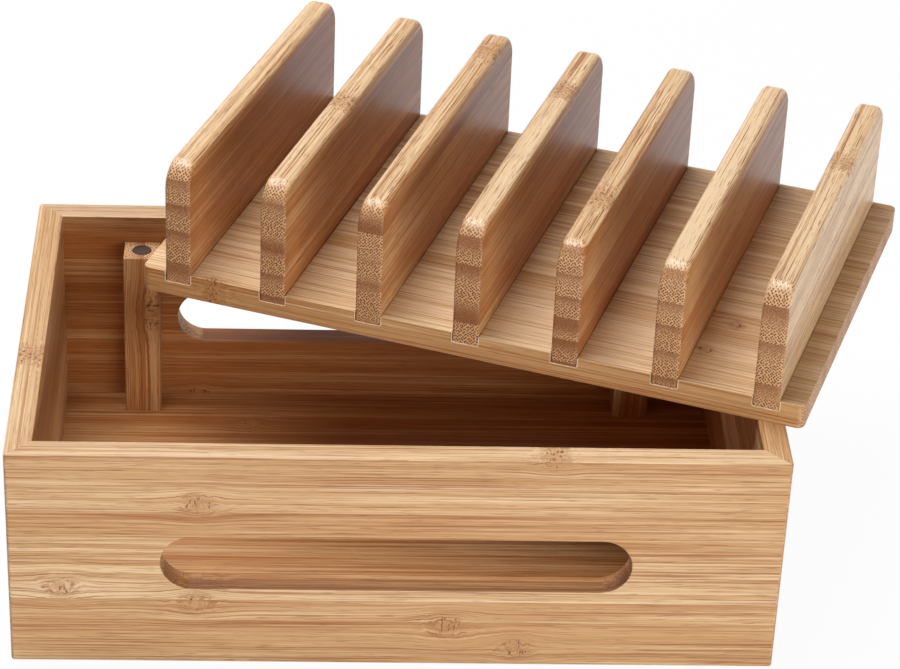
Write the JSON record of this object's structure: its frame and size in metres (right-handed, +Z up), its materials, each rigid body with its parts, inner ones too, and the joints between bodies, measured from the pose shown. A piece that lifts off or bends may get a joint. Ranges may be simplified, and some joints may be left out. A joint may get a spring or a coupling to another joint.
{
  "type": "charging station organizer",
  "caption": "Open box of laminated bamboo with cable slots, and a loose lid with upright dividers that phones and tablets stand between.",
  "frame": {"origin": "middle of the box's underside, on the surface it stands on", "axes": "+X along the box's length to the wall with the short slot, +Y to its back, +Z up"},
  "size_m": [0.3642, 0.2774, 0.157],
  "materials": {
    "wall_bamboo": "satin lacquer",
    "floor_bamboo": "satin lacquer",
    "post_bamboo": "satin lacquer",
    "lid_bamboo": "satin lacquer",
    "divider_bamboo": "satin lacquer",
    "magnet": "dull, dark grey"
  },
  "bodies": {
    "box": {"front_wall": "wall_bamboo", "right_wall": "wall_bamboo", "back_wall": "wall_bamboo", "left_wall": "wall_bamboo", "floor_panel": "floor_bamboo", "post_front_left": "post_bamboo", "post_front_right": "post_bamboo", "post_back_right": "post_bamboo", "post_back_left": "post_bamboo", "post_magnet_front_left": "magnet", "post_magnet_front_right": "magnet", "post_magnet_back_right": "magnet", "post_magnet_back_left": "magnet"},
    "lid_carrier": {"lid_magnet_front_right": "magnet"},
    "lid": {"lid_plate": "lid_bamboo", "divider_1": "divider_bamboo", "divider_2": "divider_bamboo", "divider_3": "divider_bamboo", "divider_4": "divider_bamboo", "divider_5": "divider_bamboo", "divider_6": "divider_bamboo", "divider_7": "divider_bamboo", "lid_magnet_front_left": "magnet", "lid_magnet_back_right": "magnet", "lid_magnet_back_left": "magnet"}
  },
  "joints": [
    {"name": "lid_lift", "type": "slide", "parent": "box", "child": "lid_carrier", "axis": [0, 0, 1], "range_m": [0, 0.12]},
    {"name": "lid_turn", "type": "hinge", "parent": "lid_carrier", "child": "lid", "pos_m": [0.12796, -0.05344, 0.097], "axis": [0, 0, 1], "range_deg": [0, 20.6]}
  ]
}
